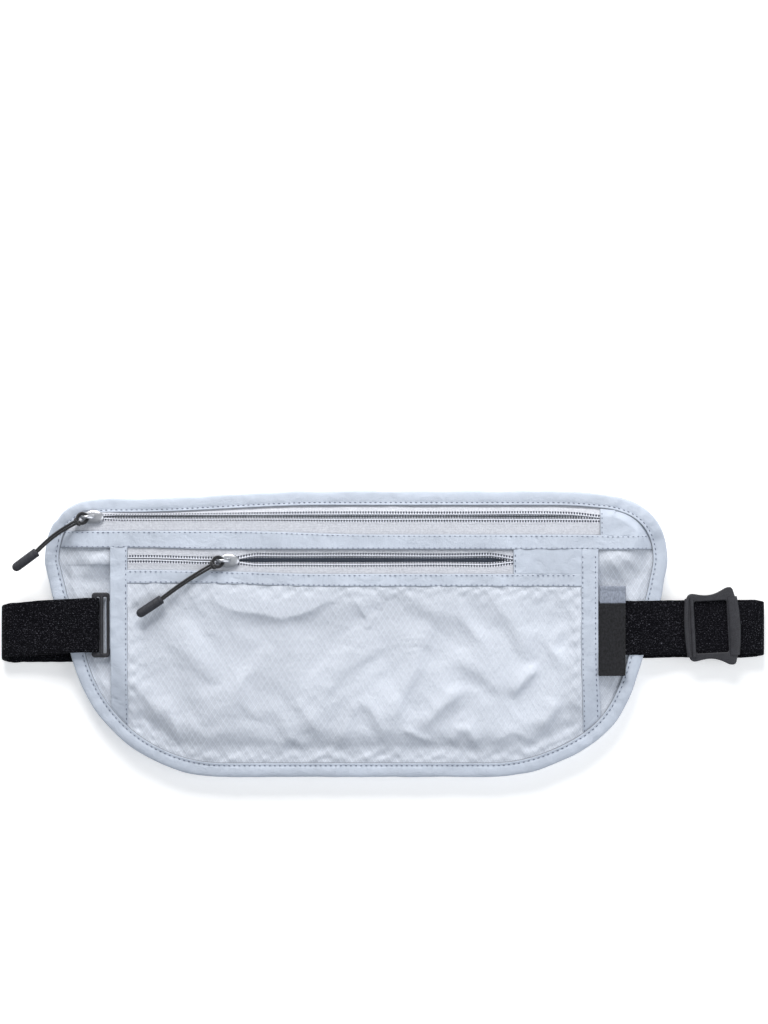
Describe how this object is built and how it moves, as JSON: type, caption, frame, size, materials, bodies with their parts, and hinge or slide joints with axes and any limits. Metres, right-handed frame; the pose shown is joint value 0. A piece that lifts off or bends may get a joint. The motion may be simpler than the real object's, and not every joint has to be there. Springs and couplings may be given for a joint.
{
  "type": "money belt",
  "caption": "Flat travel money belt: a two-pocket cloth pouch with two zips on cord pulls, a doubled elastic waist strap, a ring and an adjuster.",
  "frame": {"origin": "underside of the strap's back run, at the middle of the pouch, where the belt lies on a table", "axes": "+X to the pouch's right as seen from the front, +Y to its top edge, +Z out of its front"},
  "size_m": [0.3541, 0.1324, 0.0173],
  "materials": {
    "pouch_cloth": "thin coated ripstop, soft sheen",
    "trim_cloth": "plain coated cloth, topstitched",
    "zip_tape": "woven tape",
    "zip_coil": "moulded coil",
    "stop_metal": "crimped metal",
    "elastic": "woven elastic, dull black",
    "black_plastic": "fine moulded grain",
    "label_black": "woven satin label, left blank",
    "label_grey": "woven satin label",
    "slider_metal": "plated, slightly brushed",
    "pull_cord": "braided cord",
    "pull_rubber": "moulded, matt"
  },
  "bodies": {
    "root": {"back_panel": "pouch_cloth", "edge_binding": "trim_cloth", "main_panel": "pouch_cloth", "pocket_partition": "pouch_cloth", "zip_divider_band": "trim_cloth", "upper_zip_left_tab": "zip_tape", "upper_zip_right_tab": "trim_cloth", "upper_zip_tape_top": "zip_tape", "upper_zip_tape_bottom": "zip_tape", "upper_zip_coil_top": "zip_coil", "upper_zip_coil_bottom": "zip_coil", "upper_zip_stops": "stop_metal", "lower_zip_right_tab": "trim_cloth", "lower_zip_tape_top": "zip_tape", "lower_zip_tape_bottom": "zip_tape", "lower_zip_coil_top": "zip_coil", "lower_zip_coil_bottom": "zip_coil", "lower_zip_stops": "stop_metal", "front_panel": "pouch_cloth", "front_header_band": "trim_cloth", "left_side_band": "trim_cloth", "right_side_band": "trim_cloth", "waist_strap": "elastic", "ring_keeper": "trim_cloth"},
    "ring": {"belt_ring": "black_plastic", "strap_ring_loop": "elastic"},
    "adjuster": {"tri_glide": "black_plastic", "strap_tail_loop": "elastic"},
    "label": {"label_flap": "label_black", "label_fold": "label_grey"},
    "upper_slider": {"upper_zip_slider": "slider_metal"},
    "upper_swivel": {"upper_pull_knot": "pull_cord"},
    "upper_pull": {"upper_pull_cord": "pull_cord", "upper_pull_tip": "pull_rubber"},
    "lower_slider": {"lower_zip_slider": "slider_metal"},
    "lower_swivel": {"lower_pull_knot": "pull_cord"},
    "lower_pull": {"lower_pull_cord": "pull_cord", "lower_pull_tip": "pull_rubber"}
  },
  "joints": [
    {"name": "upper_zip_slide", "type": "slide", "parent": "root", "child": "upper_slider", "axis": [1, 0, 0], "range_m": [0, 0.226]},
    {"name": "upper_pull_swing", "type": "hinge", "parent": "upper_slider", "child": "upper_swivel", "pos_m": [-0.1256, 0.0535, 0.0153], "axis": [0, 0, 1], "range_deg": [-36, 20]},
    {"name": "upper_pull_lift", "type": "hinge", "parent": "upper_swivel", "child": "upper_pull", "pos_m": [-0.1256, 0.0535, 0.0153], "axis": [-0.5948, 0.8039, 0], "range_deg": [0, 120]},
    {"name": "lower_zip_slide", "type": "slide", "parent": "root", "child": "lower_slider", "axis": [1, 0, 0], "range_m": [-0.039, 0.125]},
    {"name": "lower_pull_swing", "type": "hinge", "parent": "lower_slider", "child": "lower_swivel", "pos_m": [-0.0631, 0.0334, 0.0153], "axis": [0, 0, 1], "range_deg": [-33, 45]},
    {"name": "lower_pull_lift", "type": "hinge", "parent": "lower_swivel", "child": "lower_pull", "pos_m": [-0.0631, 0.0334, 0.0153], "axis": [-0.5519, 0.8339, 0], "range_deg": [0, 120]},
    {"name": "ring_swing", "type": "hinge", "parent": "root", "child": "ring", "pos_m": [-0.1149, 0.0036, 0.01075], "axis": [0, 1, 0], "range_deg": [0, 45]},
    {"name": "adjuster_slide", "type": "slide", "parent": "root", "child": "adjuster", "axis": [1, 0, 0], "range_m": [-0.006, 0.006]},
    {"name": "label_hinge", "type": "hinge", "parent": "root", "child": "label", "pos_m": [0.112, 0, 0.0132], "axis": [0, -1, 0], "range_deg": [0, 140]}
  ]
}
